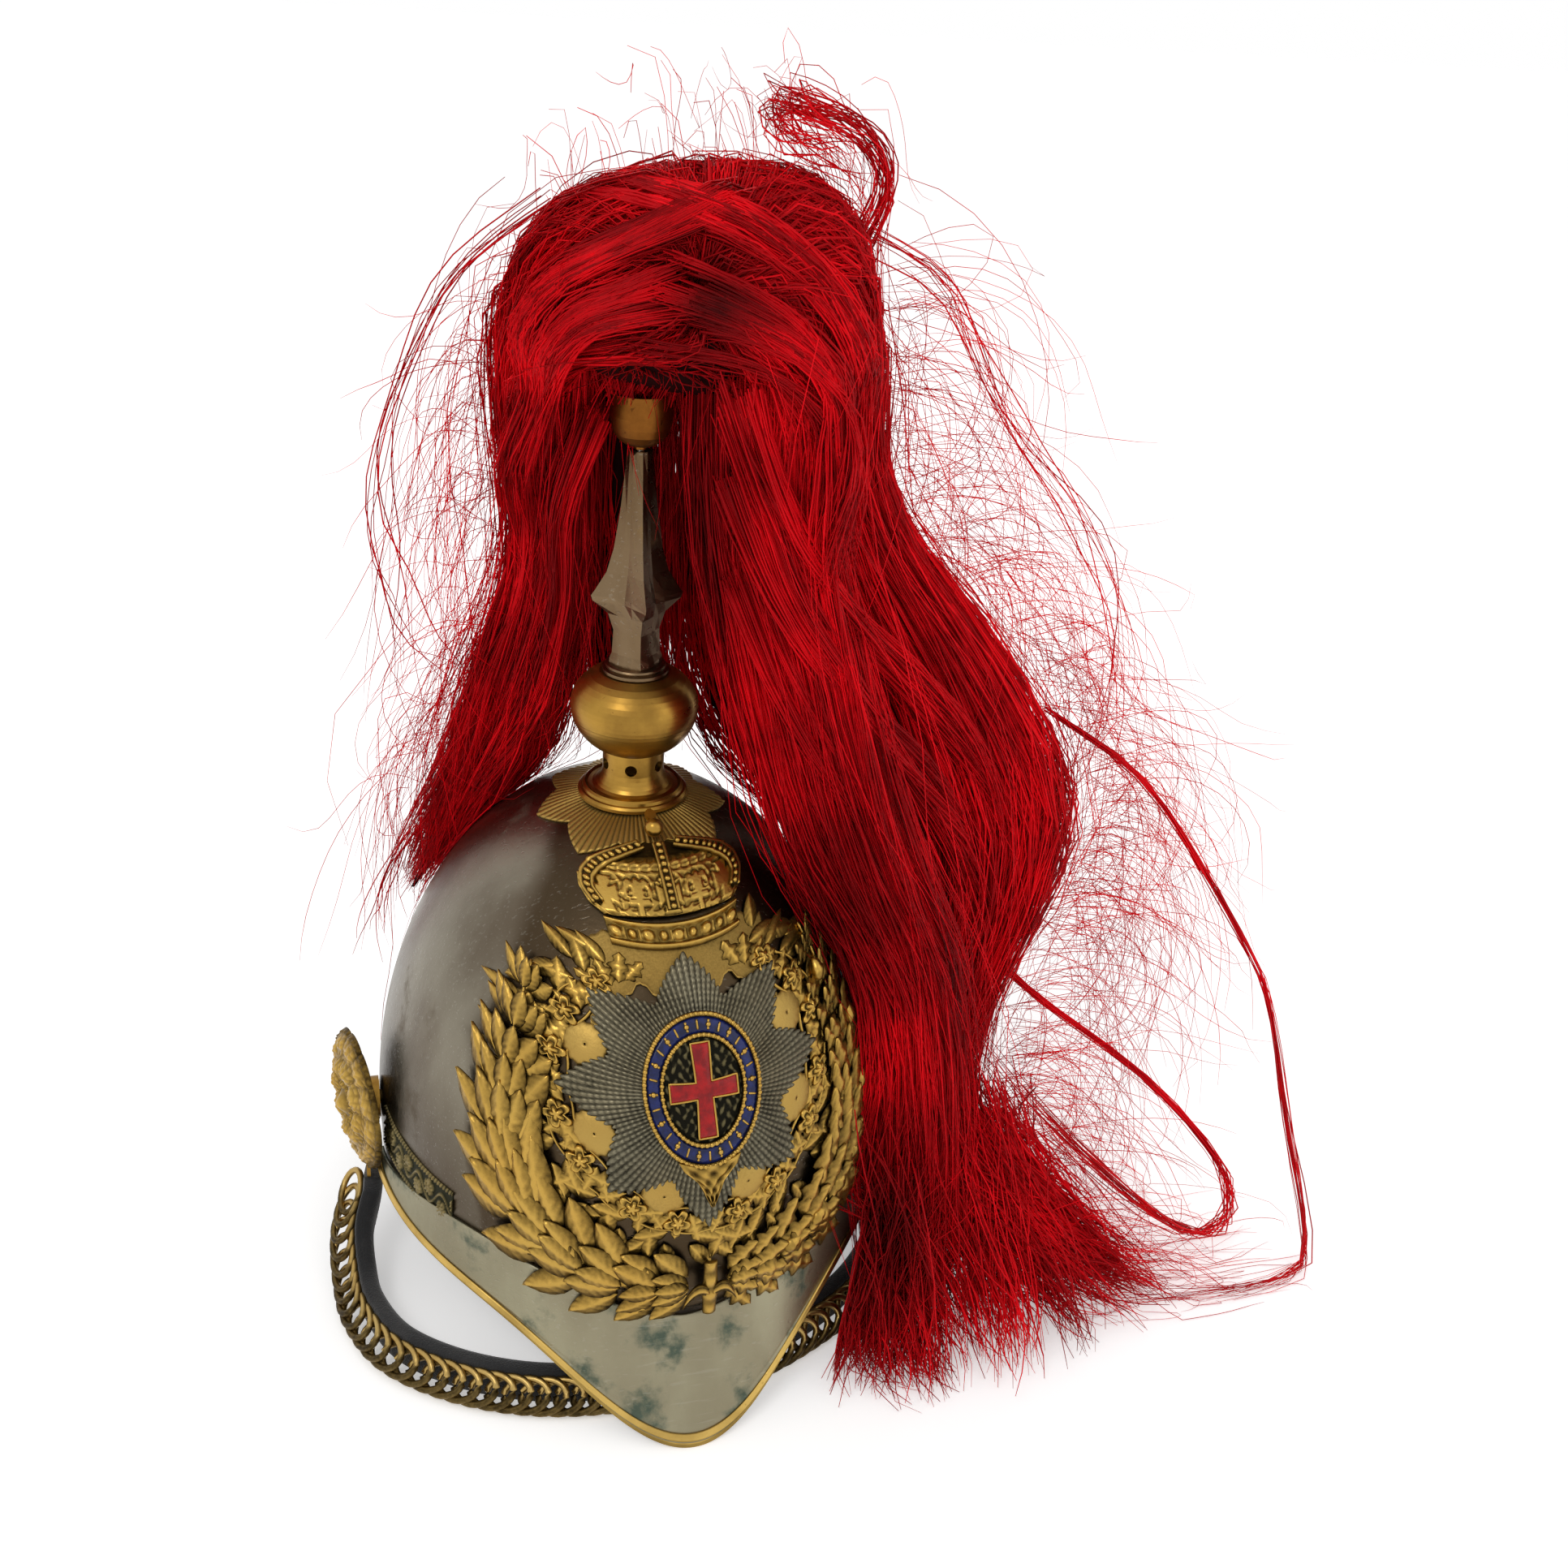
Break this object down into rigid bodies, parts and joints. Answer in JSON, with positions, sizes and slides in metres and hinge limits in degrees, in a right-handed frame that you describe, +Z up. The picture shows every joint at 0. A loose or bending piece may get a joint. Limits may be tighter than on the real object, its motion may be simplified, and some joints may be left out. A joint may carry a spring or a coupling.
{
  "type": "plumed cavalry helmet",
  "caption": "Full-dress metal helmet with pointed peaks, gilt badge plate, chain chin strap and a vented spike carrying a long red horsehair plume.",
  "frame": {"origin": "centre of the head opening, on the spike axis and level with the lower edge of the skull at its sides", "axes": "+Z up along the spike, front of the helmet towards -Y, wearer's left towards +X"},
  "size_m": [0.4062, 0.3033, 0.4329],
  "materials": {
    "white_metal": "tarnished white metal, brownish and lightly scratched",
    "gilt": "gilt brass, worn satin",
    "old_brass": "darkened brass",
    "silver": "oxidised silver plate",
    "steel": "bright steel",
    "blue_enamel": "glossy blue enamel on metal",
    "red_enamel": "glossy red enamel on metal",
    "dark_ground": "blackened metal ground",
    "horsehair": "red dyed horsehair",
    "strap_black": "black leather faced with velvet",
    "tan_leather": "brown liner leather, worn",
    "cord_white": "off-white cord"
  },
  "bodies": {
    "helmet": {"skull_shell": "white_metal", "front_peak": "white_metal", "rear_peak": "white_metal", "front_binding": "gilt", "rear_binding": "gilt", "band_left": "old_brass", "band_right": "old_brass", "band_rear": "old_brass", "crown_ray_plate": "gilt", "vent_neck": "gilt", "vent_nut": "old_brass", "onion_lower": "gilt", "onion_upper": "gilt", "plate_field": "gilt", "plate_collar": "gilt", "plate_roundels": "gilt", "laurel_branch": "gilt", "oak_branch": "gilt", "branch_tie": "gilt", "badge_star": "silver", "ring_rims": "gilt", "ring_enamel": "blue_enamel", "ring_ground": "dark_ground", "badge_cross": "red_enamel", "ring_buckle": "gilt", "crown_band": "gilt", "crown_cap": "gilt", "crown_arches": "gilt", "crown_orb": "gilt", "plate_studs": "old_brass", "rosette_left": "gilt", "rosette_right": "gilt", "rosette_washers": "gilt", "rosette_nuts": "old_brass", "liner_band": "tan_leather", "liner_tongues": "tan_leather", "liner_lace": "cord_white"},
    "spike": {"spike": "silver"},
    "plume": {"plume_rod": "steel", "plume_cup": "gilt", "plume_nut": "steel", "plume_binding": "old_brass", "plume_hair": "horsehair", "plume_tail": "horsehair", "plume_wisps": "horsehair"},
    "chin_chain": {"strap_tabs": "gilt", "chin_strap": "strap_black", "chin_chain": "gilt"}
  },
  "joints": [
    {"name": "plume_lift", "type": "slide", "parent": "helmet", "child": "plume", "axis": [0, 0, 1], "range_m": [0, 0.08]},
    {"name": "spike_turn", "type": "hinge", "parent": "helmet", "child": "spike", "pos_m": [0, 0, 0.1995], "axis": [0, 0, 1], "continuous": true},
    {"name": "chin_chain_swing", "type": "hinge", "parent": "helmet", "child": "chin_chain", "pos_m": [0, -0.006, 0.0265], "axis": [1, 0, 0], "range_deg": [0, 100]}
  ]
}
